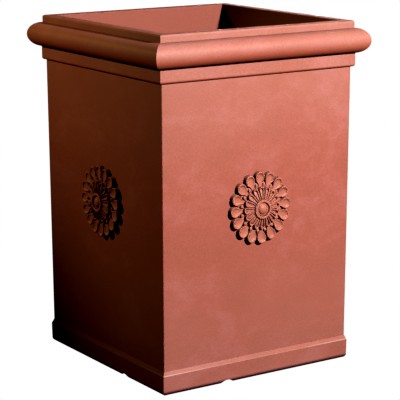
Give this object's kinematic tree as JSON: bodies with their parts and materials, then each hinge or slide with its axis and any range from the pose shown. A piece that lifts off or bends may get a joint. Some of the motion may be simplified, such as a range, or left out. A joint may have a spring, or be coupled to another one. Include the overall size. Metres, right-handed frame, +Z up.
{
  "type": "square planter",
  "caption": "Tall square open-topped planter with a moulded cornice, a low plinth and cast rosettes on its sides.",
  "frame": {"origin": "centre of the footprint, on the ground", "axes": "+Z up, -Y out of the front side, +X to the right seen from the front"},
  "size_m": [0.5, 0.5, 0.693],
  "materials": {
    "resin_body": "matt, slightly mottled",
    "resin_moulding": "matt",
    "resin_ornament": "matt",
    "screw_steel": "zinc plated"
  },
  "bodies": {
    "root": {"body_shell": "resin_body", "plinth": "resin_moulding", "cornice": "resin_moulding", "drain_floor": "resin_body", "rosette_front": "resin_ornament", "rosette_right": "resin_ornament", "rosette_back": "resin_ornament", "rosette_left": "resin_ornament", "rosette_screws": "screw_steel"}
  },
  "joints": []
}
